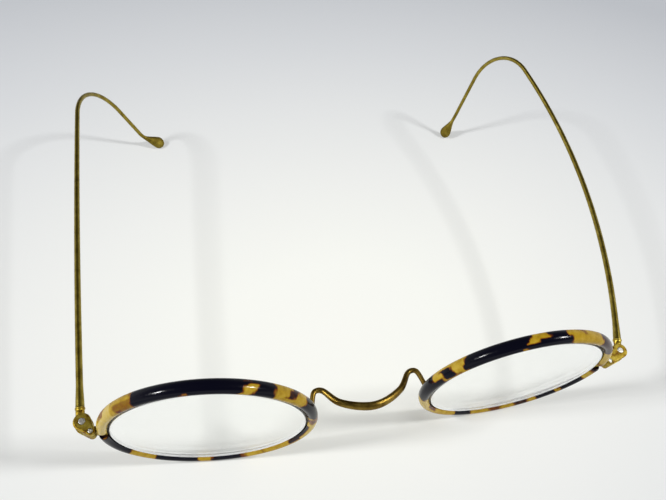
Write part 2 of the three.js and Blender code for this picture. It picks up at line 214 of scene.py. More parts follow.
def settle(obj, spec, lift):  # a mesh carved about its own origin is lifted and goes to its half's place
    where = np.empty(len(obj.data.vertices) * 3, np.float32)
    obj.data.vertices.foreach_get("co", where)
    where = toPart(spec, where.reshape(-1, 3) / metre + lift) * metre
    obj.data.vertices.foreach_set("co", where.ravel())
    obj.data.update()


def fit(obj, node, finish, sharp=35):
    # shades smooth but for edges sharper than the angle, and puts the piece in its solid's stead
    obj.data.shade_smooth()
    obj.data.set_sharp_from_angle(angle=math.radians(sharp))
    if not obj.data.materials:
        obj.data.materials.append(finish)
    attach(obj, frame["nodes"][node]["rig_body"])
    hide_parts(node)


# Materials

def addNode(tree, kind, values, **options):  # values holds numbers for sockets, or sockets to link
    node = tree.nodes.new("ShaderNode" + kind)
    for option, value in options.items():
        setattr(node, option, value)
    for socket, value in values.items():
        if isinstance(value, bpy.types.NodeSocket):
            tree.links.new(value, node.inputs[socket])
        else:
            node.inputs[socket].default_value = value
    return node


def addRamp(tree, factor, stops, blend="LINEAR"):  # stops are (place, grey) or (place, red, green, blue)
    node = addNode(tree, "ValToRGB", {"Fac": factor})
    node.color_ramp.interpolation = blend
    elements = node.color_ramp.elements
    while len(elements) < len(stops):
        elements.new(0.5)
    for element, (place, *colour) in zip(elements, stops):
        element.position = place
        element.color = (*(colour if len(colour) == 3 else colour * 3), 1)
    return node.outputs["Color"]


def reckon(tree, operation, *values):  # one sum on its values, taken in order
    return addNode(tree, "Math", dict(enumerate(values)), operation=operation).outputs[0]


def newFinish(name, values):  # a node material whose shader starts with these values
    material = bpy.data.materials.new(name)
    material.use_nodes = True
    tree = material.node_tree
    shader = tree.nodes["Principled BSDF"]
    for socket, value in values.items():
        shader.inputs[socket].default_value = value
    return material, tree, shader


def millimetres(tree):  # object coordinates in millimetres
    place = addNode(tree, "TexCoord", {})
    grown = addNode(tree, "Mapping", {"Vector": place.outputs["Object"], "Scale": (1 / metre,) * 3})
    return grown.outputs["Vector"]


def noise(tree, place, scale, detail=3, rough=0.55):  # clouds from 0 to 1, so many to the millimetre
    return addNode(tree, "TexNoise", {
        "Vector": place, "Scale": scale, "Detail": detail, "Roughness": rough,
    }).outputs["Fac"]


def feed(tree, shader, socket, value):  # links a value to one of the shader's sockets
    tree.links.new(value, shader.inputs[socket])


def bumpUp(tree, shader, height, strength, depth):  # a height from 0 to 1 as a bump, its depth in millimetres
    bump = addNode(tree, "Bump", {"Height": height, "Strength": strength, "Distance": depth * metre})
    feed(tree, shader, "Normal", bump.outputs["Normal"])


# Tortoiseshell celluloid: the tone attribute runs from pale honey to black, and clouds shift it
tortoise = {
    "cloudScale": 0.9, "cloudDetail": 4, "cloudRough": 0.6, "cloudMiddle": 0.5, "cloudShift": 0.34,
    "glossScale": 2.2, "gloss": [(0.3, 0.1), (0.7, 0.2)],
    "waveScale": 0.8, "waveStrength": 0.25, "waveDepth": 0.06,
    "stops": [
        (0.0, 0.62, 0.5, 0.2), (0.22, 0.56, 0.39, 0.05), (0.36, 0.42, 0.26, 0.014), (0.48, 0.25, 0.13, 0.007),
        (0.6, 0.2, 0.055, 0.006), (0.74, 0.05, 0.014, 0.006), (0.88, 0.003, 0.003, 0.008),
    ],
}
celluloid, tree, shader = newFinish("tortoiseCelluloid", {"IOR": 1.5, "Specular IOR Level": 0.14})
place = millimetres(tree)
tone = addNode(tree, "Attribute", {}, attribute_name="tone").outputs["Fac"]
cloud = noise(tree, place, tortoise["cloudScale"], tortoise["cloudDetail"], tortoise["cloudRough"])
mottle = reckon(tree, "ADD", cloud, -tortoise["cloudMiddle"])
mixed = reckon(tree, "MULTIPLY_ADD", mottle, tortoise["cloudShift"], tone)
feed(tree, shader, "Base Color", addRamp(tree, mixed, tortoise["stops"]))
feed(tree, shader, "Roughness", addRamp(tree, noise(tree, place, tortoise["glossScale"]), tortoise["gloss"]))
waves = noise(tree, place, tortoise["waveScale"])
bumpUp(tree, shader, waves, tortoise["waveStrength"], tortoise["waveDepth"])

# Aged gold filling: the temples are olive, the bridge redder, the plates brighter, partly as a painted
# reflection on their tops, and the eyewires nearly black as a painted shade inside the bead's groove
gold = {
    "cloudDetail": 5, "cloudRough": 0.65, "dullShade": -0.1, "dullRough": 0.3,
    "glossScale": 3.0, "glossSpread": 0.1, "waveScale": 2.5, "waveStrength": 0.12, "waveDepth": 0.02,
    "wire": [
        (0.28, 0.155, 0.11, 0.016), (0.42, 0.222, 0.165, 0.024),
        (0.58, 0.31, 0.24, 0.042), (0.74, 0.43, 0.345, 0.09),
    ],
    "bridge": [
        (0.28, 0.11, 0.06, 0.012), (0.42, 0.17, 0.105, 0.018),
        (0.58, 0.25, 0.165, 0.032), (0.74, 0.36, 0.25, 0.06),
    ],
    # the plates' stops are lighter than the wire's: partly their own colour, partly a painted reflection of
    # bright light on their tops
    "plate": [
        (0.34, 0.18, 0.085, 0.013), (0.45, 0.36, 0.25, 0.028),
        (0.56, 0.48, 0.37, 0.058), (0.7, 0.65, 0.54, 0.18),
    ],
    # the eyewires' stops: nearly black, a painted shade for the shadow inside the bead's groove
    "dark": [(0.3, 0.02, 0.017, 0.014), (0.55, 0.06, 0.048, 0.025), (0.75, 0.14, 0.1, 0.03)],
}


def goldFinish(name, stops, polish, grain=0.45):
    # clouds set the colour from dark to rubbed, and finer ones the polish;
    # the tarnish attribute is 1 at the tips and the solder joints, and makes both duller
    material, tree, shader = newFinish(name, {"Metallic": 1.0})
    place = millimetres(tree)
    dull = addNode(tree, "Attribute", {}, attribute_name="tarnish").outputs["Fac"]
    cloud = noise(tree, place, grain, gold["cloudDetail"], gold["cloudRough"])
    cloud = reckon(tree, "MULTIPLY_ADD", dull, gold["dullShade"], cloud)
    feed(tree, shader, "Base Color", addRamp(tree, cloud, stops))
    fine = noise(tree, place, gold["glossScale"])
    gloss = addRamp(tree, fine, [(0.3, polish + gold["glossSpread"]), (0.7, polish)])
    gloss = reckon(tree, "MULTIPLY_ADD", dull, gold["dullRough"], gloss)
    feed(tree, shader, "Roughness", gloss)
    bumpUp(tree, shader, noise(tree, place, gold["waveScale"]), gold["waveStrength"], gold["waveDepth"])
    return material


wireGold = goldFinish("agedWireGold", gold["wire"], polish=0.3)
bridgeGold = goldFinish("agedBridgeGold", gold["bridge"], polish=0.3)
plateGold = goldFinish("agedPlateGold", gold["plate"], polish=0.4, grain=0.6)
paintedShadeGold = goldFinish("eyewirePaintedShade", gold["dark"], polish=0.45)

# Worn steel screws: grey clouds under a fine grain
worn = {
    "cloudScale": 2.5, "cloudDetail": 4, "stops": [(0.3, 0.5, 0.48, 0.42), (0.65, 0.8, 0.79, 0.74)],
    "glossScale": 8.0, "gloss": [(0.3, 0.4), (0.7, 0.6)],
    "grainScale": 12.0, "grainStrength": 0.25, "grainDepth": 0.01,
}
steel, tree, shader = newFinish("wornSteel", {"Metallic": 1.0})
place = millimetres(tree)
cloud = noise(tree, place, worn["cloudScale"], worn["cloudDetail"])
feed(tree, shader, "Base Color", addRamp(tree, cloud, worn["stops"]))
feed(tree, shader, "Roughness", addRamp(tree, noise(tree, place, worn["glossScale"]), worn["gloss"]))
bumpUp(tree, shader, noise(tree, place, worn["grainScale"]), worn["grainStrength"], worn["grainDepth"])

# Clear glass with a faint smear, and its ground edge
clear = {
    "smearScale": 0.12, "smear": [(0.45, 0.0), (0.8, 0.03)],
    "groundScale": 0.3, "ground": [(0.3, 0.9, 0.92, 0.91), (0.7, 0.96, 0.97, 0.965)],
}
glass, tree, shader = newFinish("clearGlass", {
    "Base Color": (0.985, 0.995, 0.988, 1), "IOR": 1.523, "Transmission Weight": 1.0,
})
place = millimetres(tree)
feed(tree, shader, "Roughness", addRamp(tree, noise(tree, place, clear["smearScale"]), clear["smear"]))
groundEdge, tree, shader = newFinish("groundEdge", {"Roughness": 0.65})
place = millimetres(tree)
feed(tree, shader, "Base Color", addRamp(tree, noise(tree, place, clear["groundScale"]), clear["ground"]))
print("materials ready")


# Rim covers
cover = {
    "halfWidth": 1.1,  # the bead is an oval, deeper than it is wide
    "steps": 420, "arcPoints": 25, "ease": 0.08, "easePoints": 3,
    "endEase": 0.25, "endPoints": 6, "endDrop": 0.12,
    "amber": 0.35, "soft": 1.1, "sectionSoft": 10,
    "wander": 0.44, "waves": [(0.9, 0.05), (2.3, -0.03), (0.4, 0.07)],  # per degree of lens and of section
    # marks: from and to in degrees from the hinge over the top, lean per quarter of the section, tone,
    # and the part of the section they keep to, in degrees from the outside towards the back;
    # the section runs from -180 to 180, so -200 to 200 is all of it
    "left": [
        (-12, 4, 0, 0.4, -200, 200), (4, 36, 0, 0.14, -200, 200), (20, 29, 5, 0.58, -32, 90),
        (38, 52.5, -3, 0.5, -200, -6), (40.5, 44, 0, 0.72, -200, -62), (52.5, 125, 0, 1.0, -200, 200),
        (78.5, 82, 1, 0.56, -200, -58), (109.6, 116, 3.8, 0.3, -200, 14), (106, 112, 3, 0.74, 22, 60),
        (135.5, 140.5, 5, 0.82, -50, 90), (150, 172, 2, 1.0, -200, 200), (172, 178, 0, 0.66, -200, 200),
        (180, 205, 0, 0.18, -200, 200), (184, 212, 0, 0.9, -200, -115), (207, 217, 2, 0.85, -200, -100),
        (236, 238, 0, 0.55, -200, 200), (249, 253, 0, 0.62, -200, 200), (253, 271, 0, 1.0, -200, 200),
        (280, 307, 0, 1.0, -200, 200), (327, 358, 0, 0.93, -200, 200),
    ],
    "right": [
        (-12, 8, 0, 0.6, -200, 200), (8, 30, 0, 0.24, -200, 200), (30, 53, 2, 0.78, -200, 200),
        (66, 69, 4, 0.6, 0, 90), (80, 141, 2.5, 1.0, -200, 200),
        (97, 103, -4, 0.34, -32, 120), (91.5, 99, 0, 0.36, -6, 120), (105, 108.5, 1, 0.42, -200, -58),
        (139, 163, -4, 0.3, -55, 200), (148, 155, 3, 1.0, -75, 25), (143, 147, 0, 0.5, -95, -60),
        (157, 190, 2, 0.92, -200, -30), (163, 190, 0, 0.9, -200, 60),
        (188, 208, 0, 0.2, -200, 200), (208, 222, 2, 0.7, -200, -115), (243, 257, 0, 1.0, -200, 200),
        (275, 283, 2, 0.68, -200, 200), (290, 300, 0, 0.8, -200, 200), (306, 320, 0, 1.0, -200, 200),
        (324, 344, 0, 0.97, -200, 200), (344, 354, 0, 0.26, -200, 200), (354, 359, 0, 0.86, -200, 200),
    ],
}
beadMiddle = front["rimRadius"] + front["beadRadius"] - cover["halfWidth"]


def smooth(value, low, high):  # three squares less two cubes of the share between low and high
    share = np.clip((value - low) / (high - low), 0, 1)
    return share * share * (3 - 2 * share)


def between(value, low, high, soft):  # 1 from low to high, with a smooth step over the soft width at each
    return smooth(value, low - soft, low + soft) * (1 - smooth(value, high - soft, high + soft))


def beadOutline():  # an oval open at the slot, then the slot's floor, with the corners eased
    deep, half = front["beadRadius"], front["wireHalf"] + front["clearance"]
    mouth = math.pi - math.asin(half / deep)
    turn = np.linspace(-mouth, mouth, cover["arcPoints"])
    arc = np.stack([beadMiddle + cover["halfWidth"] * np.cos(turn), deep * np.sin(turn)], -1)
    floor = front["wireOuter"] + front["clearance"]
    return eased(np.vstack([arc, [[floor, half], [floor, -half]]]), cover["ease"], cover["easePoints"])


def markTones(marks, angle, section, seed):
    # amber, then each mark in turn: a window in angle whose sides lean with the section and wander
    # as a sum of sines, times a window across the section
    theta, phi = np.meshgrid(np.degrees(angle), np.degrees(section), indexing="ij")
    wander = sum(np.sin(theta * a + phi * b + (k + 1) * seed) for k, (a, b) in enumerate(cover["waves"]))
    tones = np.full(theta.shape, cover["amber"])
    for start, end, lean, tone, near, far in marks:
        spot = theta - lean * phi / 90 + wander * cover["wander"]
        spot = (spot - start + 90) % 360 + start - 90  # counted from a quarter turn before the mark
        window = between(spot, start, end, cover["soft"]) * between(phi, near, far, cover["sectionSoft"])
        tones += (tone - tones) * window
    return tones


for name, spec in sides.items():
    above = (front["tongueHalf"] + front["clearance"]) / front["rimRadius"]
    below = (front["blockHalf"] + front["clearance"]) / front["rimRadius"]
    count = cover["endPoints"]
    edge = cover["endEase"] / front["rimRadius"] * (1 - np.cos(np.linspace(0, np.pi / 2, count)))
    start, end = splitAngle + above, splitAngle + 2 * np.pi - below
    inside = np.linspace(start, end, cover["steps"])[count:-count]
    angle = np.concatenate([start + edge, inside, end - edge[::-1]])
    outline = beadOutline()
    rings = aroundLens(outline, spec["side"], angle)
    # the ends are eased: the section shrinks about its middle by a quarter circle
    run = np.clip(np.minimum(angle - start, end - angle) * front["rimRadius"] / cover["endEase"], 0, 1)
    size = 1 - cover["endDrop"] * (1 - np.sqrt(1 - (1 - run) ** 2))
    middle = aroundLens(np.array([[beadMiddle, 0.0]]), spec["side"], angle)
    rings = middle + (rings - middle) * size[:, None, None]
    points, faces = capped(toPart(spec, rings))
    obj = newObject("rimCover_" + name, points, faces)
    deep, wide = outline[:, 1] / front["beadRadius"], (outline[:, 0] - beadMiddle) / cover["halfWidth"]
    section = np.arctan2(deep, wide)
    tones = markTones(cover[name], angle, section, spec["side"])
    obj.data.attributes.new("tone", "FLOAT", "POINT").data.foreach_set("value", tones.ravel())
    fit(obj, "rim_cover_" + name, celluloid, sharp=40)
print("rim covers done")

# Eyewires
eyewire = {"steps": 300, "ease": 0.14, "easePoints": 4}
for name, spec in sides.items():
    inner, outer, half = front["wireInner"], front["wireOuter"], front["wireHalf"]
    corners = np.array([
        [inner, -half], [outer, -half], [outer, half], [inner, half],
        [inner, front["grooveHalf"]], [inner + front["grooveDepth"], 0], [inner, -front["grooveHalf"]],
    ])
    gap = front["splitGap"] / front["rimRadius"]
    angle = np.linspace(splitAngle + gap, splitAngle + 2 * np.pi - gap, eyewire["steps"])
    rings = aroundLens(eased(corners, eyewire["ease"], eyewire["easePoints"]), spec["side"], angle)
    points, faces = capped(toPart(spec, rings))
    # the eyewire takes the nearly black gold, a painted shade
    fit(newObject("eyewire_ring_" + name, points, faces), "eyewire_" + name, paintedShadeGold)
print("eyewires done")

# Lenses
lens = {"edge": 1.9, "frontBulge": 0.15, "backHollow": 0.3, "rows": 24, "around": 256}
for name, spec in sides.items():
    shoulder = front["wireInner"] - front["clearance"]
    share = np.linspace(0, 1, lens["rows"])
    frontDepth = -lens["frontBulge"] * (1 - share ** 2) - lens["edge"] / 2
    backDepth = lens["edge"] / 2 - lens["backHollow"] * (1 - share ** 2)
    tip, half = shoulder + front["grooveDepth"], front["grooveHalf"]
    bevel = [[shoulder, -half], [tip, 0], [shoulder, half]]
    profile = np.vstack([
        np.stack([share * shoulder, frontDepth], -1), bevel,
        np.stack([share * shoulder, backDepth], -1)[::-1],
    ])
    points, faces = turned(profile, lens["around"])
    points = points[:, [0, 2, 1]]  # the turning axis lies along the lens's depth
    obj = newObject("lensGlass_" + name, toPart(spec, points), faces)
    obj.data.materials.append(glass)
    obj.data.materials.append(groundEdge)
    ground = np.zeros(len(faces), np.int32)
    firstBand, endBand = lens["rows"] - 2, lens["rows"] + 2  # the four bands of faces round the edge
    ground[firstBand * lens["around"]:endBand * lens["around"]] = 1
    obj.data.polygons.foreach_set("material_index", ground)
    fit(obj, "lens_" + name, glass, sharp=20)
    obj.visible_shadow = False  # clear glass: the floor under it keeps its light
    obj.visible_diffuse = False
print("lenses done")

# W bridge
bridge = {
    "footHeight": -0.05, "footAngle": 77, "footDepth": 1, "footRadius": 0.5,
    "crestBack": 3.95, "crestRise": 0.65, "crestHalf": 0.9, "crestDrop": 0.31,
    "shoulderShare": 0.58, "shoulderBack": 0.15, "shoulderRise": 1.4,
    "saddleForward": 2.4, "saddleRise": 2.45, "saddleWidth": 1.72, "saddleThickness": 1.2, "saddleSlope": 40,
    "turn": 3.4, "spanPoints": 60, "stations": 220, "around": 28,
    "jointStart": 0.02, "jointShare": 0.14, "dull": 0.15,  # the wire is dullest beside its solder joints
}
halfGap = front["spacing"] / 2 - front["rimRadius"] - front["beadRadius"]


def throughPoints(spots, perSpan):
    # a smooth line through the spots: a cubic on each span, its end slopes from the chords beside it,
    # each chord weighed by the root of its length
    line = np.vstack([2 * spots[0] - spots[1], spots, 2 * spots[-1] - spots[-2]])
    p0, p1, p2, p3 = line[:-3], line[1:-2], line[2:-1], line[3:]
    chords = [np.linalg.norm(b - a, axis=1, keepdims=True) for a, b in ((p0, p1), (p1, p2), (p2, p3))]
    d0, d1, d2 = np.sqrt(chords)
    slopeA = ((p1 - p0) / d0 - (p2 - p0) / (d0 + d1) + (p2 - p1) / d1) * d1
    slopeB = ((p2 - p1) / d1 - (p3 - p1) / (d1 + d2) + (p3 - p2) / d2) * d1
    t = (np.arange(perSpan) / perSpan)[None, :, None]
    p1, p2, slopeA, slopeB = (v[:, None] for v in (p1, p2, slopeA, slopeB))
    cubic = (1 + 2 * t) * (1 - t) ** 2 * p1 + t * (1 - t) ** 2 * slopeA
    cubic = cubic + t ** 2 * (3 - 2 * t) * p2 + t ** 2 * (t - 1) * slopeB
    return np.vstack([cubic.reshape(-1, 3), spots[-1:]])


def evenly(path, count):  # the same line with its stations at even lengths
    run = np.concatenate([[0], np.cumsum(np.linalg.norm(np.diff(path, axis=0), axis=1))])
    at = np.linspace(0, run[-1], count)
    return np.stack([np.interp(at, run, path[:, k]) for k in range(3)], -1)


def footSpots(spec):  # points on the ray that enters the bead at the foot's angle
    reach = front["beadRadius"] + np.array([-bridge["footDepth"], 0, bridge["footRadius"]])
    slope = math.radians(bridge["footAngle"])
    radius = front["rimRadius"] + reach * math.cos(slope)
    across = -spec["side"] * np.sqrt(radius ** 2 - bridge["footHeight"] ** 2)
    return toPart(spec, np.stack([across, reach * math.sin(slope), 0 * reach + bridge["footHeight"]], -1))


def crestSpots(spec):  # three points round an arch's crest, the outer two less far back by the drop
    beside = bridge["crestHalf"] * np.array([-1, 0, 1])
    back = bridge["crestBack"] - bridge["crestDrop"] * np.array([1, 0, 1])
    across = spec["side"] * (halfGap - spec["crestInset"] + beside)
    return np.stack([across, back, 0 * back + bridge["crestRise"]], -1)


shoulder = halfGap * bridge["shoulderShare"]
rise = (lensHeight(sides["left"]) + lensHeight(sides["right"])) / 2
middle = (sides["left"]["centre"] + sides["right"]["centre"]) / 2 * (1, 1, 0)
high = np.vstack([
    crestSpots(sides["left"])[::-1],
    [-shoulder, bridge["shoulderBack"], bridge["shoulderRise"]],
    [0, -bridge["saddleForward"], bridge["saddleRise"]],
    [shoulder, bridge["shoulderBack"], bridge["shoulderRise"]],
    crestSpots(sides["right"]),
]) @ turnAbout("Z", bridge["turn"]).T + middle + (0, 0, rise)
spots = np.vstack([footSpots(sides["left"]), high, footSpots(sides["right"])[::-1]])
path = evenly(throughPoints(spots, bridge["spanPoints"]), bridge["stations"])
way = np.gradient(path, axis=0)
way /= np.linalg.norm(way, axis=1, keepdims=True)
slope = math.radians(bridge["saddleSlope"])
up = np.tile([0, -math.sin(slope), math.cos(slope)], (bridge["stations"], 1))
swell = np.sin(np.pi * np.linspace(0, 1, bridge["stations"])) ** 2
wide = bridge["footRadius"] + (bridge["saddleWidth"] / 2 - bridge["footRadius"]) * swell
thick = bridge["footRadius"] + (bridge["saddleThickness"] / 2 - bridge["footRadius"]) * swell
points, faces = capped(wireRings(path, way, up, wide, thick, bridge["around"]))
obj = newObject("saddleBridge", points, faces)
along = np.linspace(0, 1, bridge["stations"])
near, far = bridge["jointStart"], bridge["jointShare"]
joints = 1 - smooth(along, near, far) + smooth(along, 1 - far, 1 - near)
tarnishRings(obj, bridge["dull"] + (1 - bridge["dull"]) * joints, bridge["around"])
fit(obj, "bridge", bridgeGold)
print("bridge done")

# Endpieces
endpiece = {
    "hingeEye": 1.65, "rimScrewOffset": 0.9, "rimScrewForward": 0.57, "rimScrewEye": 0.78, "arc": 40,
    "tongueWidth": 1.2, "tongueEase": 0.15, "easePoints": 4, "round": 0.25, "roundPoints": 8,
    "counterbore": 0.3, "pocketWall": 0.25, "pocketHalf": 0.72,
    "cutReach": 4,  # tools that cut right through go this far either way
    "dull": {"left": 0.15, "right": 0.45},  # the right plates are more tarnished
}
screw = {
    "hingeHead": 0.64, "hingeShank": 0.42, "rimHead": 0.46, "rimShank": 0.28, "proud": 0.05, "crown": 0.12,
    "crownPoints": 6, "chamfer": 0.08, "slotWidth": 0.22, "slotDepth": 0.15, "slotAbove": 1,
    "endGap": 0.1, "around": 64,
}


def twoEyes(centreA, radiusA, centreB, radiusB, inset):
    # arcs about two eyes joined by the lines that touch both, drawn in by the inset
    heading = math.atan2(*(centreB - centreA)[::-1])
    spread = math.acos((radiusA - radiusB) / np.linalg.norm(centreB - centreA))
    far = heading + np.linspace(spread, 2 * np.pi - spread, endpiece["arc"])
    near = heading + np.linspace(-spread, spread, endpiece["arc"])
    arcA = centreA + (radiusA - inset) * np.stack([np.cos(far), np.sin(far)], -1)
    arcB = centreB + (radiusB - inset) * np.stack([np.cos(near), np.sin(near)], -1)
    return np.vstack([arcA, arcB])


def stacked(loops, heights):  # one outline at each height
    return np.stack([np.column_stack([loop, np.full(len(loop), z)]) for loop, z in zip(loops, heights)])


def upright(outline, heights):  # the same outline at each height
    return stacked([outline] * len(heights), heights)


def rod(centre, radius, low, high):  # a short turned rod along z, used as a cutting tool
    profile = np.array([[0, low], [radius, low], [radius, high], [0, high]])
    points, faces = turned(profile, screw["around"])
    return points + np.array([*centre, 0]), faces


for name, spec in sides.items():
    side = spec["side"]
    hinge = spec["hinge"][:2]
    reach = front["rimRadius"] + front["beadRadius"] + endpiece["rimScrewOffset"]
    rimScrew = np.array([side * reach, -endpiece["rimScrewForward"]])
    lift = np.array([0, 0, front["splitHeight"]])
    low, high = front["splitGap"] / 2, front["blockHalf"]
    gap, through = front["clearance"], endpiece["cutReach"]
    for level, part in ((1, "upper"), (-1, "lower")):
        bend = np.linspace(0, np.pi / 2, endpiece["roundPoints"])
        ease = endpiece["round"]
        heights = level * np.concatenate([[low], high - ease * (1 - np.sin(bend))])
        insets = np.concatenate([[0], ease * (1 - np.cos(bend))])
        eyes = (hinge, endpiece["hingeEye"], rimScrew, endpiece["rimScrewEye"])
        loops = [twoEyes(*eyes, inset) for inset in insets]
        obj = newObject("endPlate_" + part + "_" + name, *capped(stacked(loops, heights)))
        inner = front["wireOuter"] + 2 * gap
        halfTongue = endpiece["tongueWidth"] / 2
        outer = abs(rimScrew[0])
        box = np.array([[inner, -halfTongue], [outer, -halfTongue], [outer, halfTongue], [inner, halfTongue]])
        box = eased(box * (side, 1), endpiece["tongueEase"], endpiece["easePoints"])
        heights = level * np.array([low, front["tongueHalf"] if level > 0 else high])
        tools = [("UNION", newObject("tool", *capped(upright(box, heights))))]
        pocket = np.linalg.norm(hinge - rimScrew) - screw["rimShank"] - gap - endpiece["pocketWall"]
        cuts = [
            rod(hinge, pocket, -endpiece["pocketHalf"], endpiece["pocketHalf"]),
            rod(hinge, screw["hingeShank"] + gap, -through, through),
            rod(rimScrew, screw["rimShank"] + gap, -through, through),
        ]
        if level > 0:
            floor = high - endpiece["counterbore"]
            cuts.append(rod(hinge, screw["hingeHead"] + gap / 2, floor, through))
            cuts.append(rod(rimScrew, screw["rimHead"] + gap / 2, floor, through))
        tools += [("DIFFERENCE", newObject("tool", points, faces)) for points, faces in cuts]
        carve(obj, tools)
        settle(obj, spec, lift)
        tarnishRings(obj, np.full(len(obj.data.vertices), endpiece["dull"][name]), 1)
        fit(obj, "endpiece_" + part + "_" + name, plateGold, sharp=30)
    for spot, kind in ((hinge, "hinge"), (rimScrew, "rim")):
        head, shank = screw[kind + "Head"], screw[kind + "Shank"]
        top = high + screw["proud"]
        under = high - endpiece["counterbore"] + gap / 2
        end = screw["endGap"] - high
        bend = np.linspace(0, np.pi / 2, screw["crownPoints"])
        curve, cut = screw["crown"], screw["chamfer"]
        crown = np.stack([head - curve + curve * np.cos(bend), top - curve + curve * np.sin(bend)], -1)
        profile = np.vstack([
            [[0, end], [shank - cut, end], [shank, end + cut], [shank, under], [head, under]],
            crown,
            [[0, top]],
        ])
        points, faces = turned(profile, screw["around"])
        obj = newObject("screw_" + kind + "_" + name, points + [*spot, 0], faces)
        half = screw["slotWidth"] / 2
        box = np.array([[-2 * head, -half], [2 * head, -half], [2 * head, half], [-2 * head, half]]) + spot
        heights = np.array([top - screw["slotDepth"], top + screw["slotAbove"]])
        carve(obj, [("DIFFERENCE", newObject("tool", *capped(upright(box, heights))))])
        settle(obj, spec, lift)
        fit(obj, kind + "_screw_" + name, steel, sharp=30)
print("endpieces and screws done")

# Temple butts
butt = {
    "knuckleRadius": 1.45, "knuckleHalf": 0.6, "knucklePoints": 72, "round": 0.12, "roundPoints": 6,
    "stemHalfWidth": 0.85, "stemHalfHeight": 0.5, "stemLength": 2.25, "neck": 2.55, "boreReach": 3,
    "collarStart": 2.8, "collarEnd": 3.25, "collarRadius": 0.95, "chamfer": 0.08, "around": 40,
}
temple = {
    "swellRadius": 0.84, "swellLength": 5, "thickEnd": 0.7, "thinEnd": 0.5, "taperPower": 1.2,
    "paddleLength": 5, "paddleWidth": 3.5, "paddleThickness": 1.75, "flareLength": 6.5, "flareShare": 0.8,
    "flatShare": 0.4, "roundShare": 0.3, "roundDrop": 0.97, "tipDull": 1.0, "dullFrom": -0.5, "dullTo": 0.4,
    "straight": 1e-6,  # a turn below this, in radians, is none
    "stations": (150, 80, 30, 24, 60), "around": 28,
}


def direction(side, turn, rise):  # outward turn from straight back, then the rise
    turn, rise = math.radians(turn), math.radians(rise)
    return np.array([side * math.sin(turn) * math.cos(rise), math.cos(turn) * math.cos(rise), math.sin(rise)])


def firstSpots(spec, distance):  # out from the hinge by the wire's outset, then along its first direction
    beside = direction(spec["side"], spec["splayStart"] + 90, 0) * spec["wireOutset"]
    way = direction(spec["side"], spec["splayStart"], spec["rise"])
    return spec["hinge"] + beside + np.multiply.outer(distance, way)


for name, spec in sides.items():
    way = direction(spec["side"], spec["splayStart"], spec["rise"])
    ease = butt["round"]
    bend = np.linspace(0, np.pi / 2, butt["roundPoints"])
    edge = butt["knuckleHalf"] - ease * (1 - np.sin(bend))
    drawnIn = ease * (1 - np.cos(bend))
    heights = np.concatenate([-edge[::-1], edge])
    insets = np.concatenate([drawnIn[::-1], drawnIn])
    angle = np.linspace(0, 2 * np.pi, butt["knucklePoints"], endpoint=False)
    circle = np.stack([np.cos(angle), np.sin(angle)], -1)
    loops = [(butt["knuckleRadius"] - inset) * circle for inset in insets]
    points, faces = capped(stacked(loops, heights))
    obj = newObject("templeButt_" + name, toPart(spec, points + spec["hinge"]), faces)
    # stem and collar: (distance, half width, half height) along the temple's first direction
    thick, collar, cut = temple["swellRadius"], butt["collarRadius"], butt["chamfer"]
    stem = (butt["stemHalfWidth"], butt["stemHalfHeight"])
    start, end = butt["collarStart"], butt["collarEnd"]
    table = np.array([
        (butt["knuckleRadius"] / 2, *stem), (butt["stemLength"], *stem),
        (butt["neck"], thick, thick), (start - cut, thick, thick),
        (start, collar - cut, collar - cut), (start + cut, collar, collar),
        (end - cut, collar, collar), (end, collar - cut, collar - cut),
    ])
    count = len(table)
    rings = wireRings(
        firstSpots(spec, table[:, 0]), np.tile(way, (count, 1)), np.tile([0.0, 0, 1], (count, 1)),
        table[:, 1], table[:, 2], butt["around"],
    )
    stemTool = newObject("tool", *capped(toPart(spec, rings)))
    reach = butt["boreReach"]
    points, faces = rod((0, 0), screw["hingeShank"] + front["clearance"], -reach, reach)
    boreTool = newObject("tool", toPart(spec, points + spec["hinge"]), faces)
    carve(obj, [("UNION", stemTool), ("DIFFERENCE", boreTool)])
    fit(obj, "temple_butt_" + name, plateGold, sharp=30)
print("temple butts done")


# Temples
def bentStretch(point, up, start, end, length, share):
    # the way turns evenly from start to end about their common normal, so the line is a circular arc
    axis = np.cross(start, end)
    turn = math.atan2(np.linalg.norm(axis), start @ end)
    if turn < temple["straight"]:
        ways = np.tile(start, (len(share), 1))
        return point + ways * (share * length)[:, None], ways, np.tile(up, (len(share), 1))
    axis /= np.linalg.norm(axis)
    beside = np.cross(axis, start)
    cos, sin = np.cos(turn * share)[:, None], np.sin(turn * share)[:, None]
    ways = start * cos + beside * sin
    line = point + length / turn * (start * sin + beside * (1 - cos))
    ups = up * cos + np.cross(axis, up) * sin + axis * (axis @ up) * (1 - cos)
    return line, ways, ups


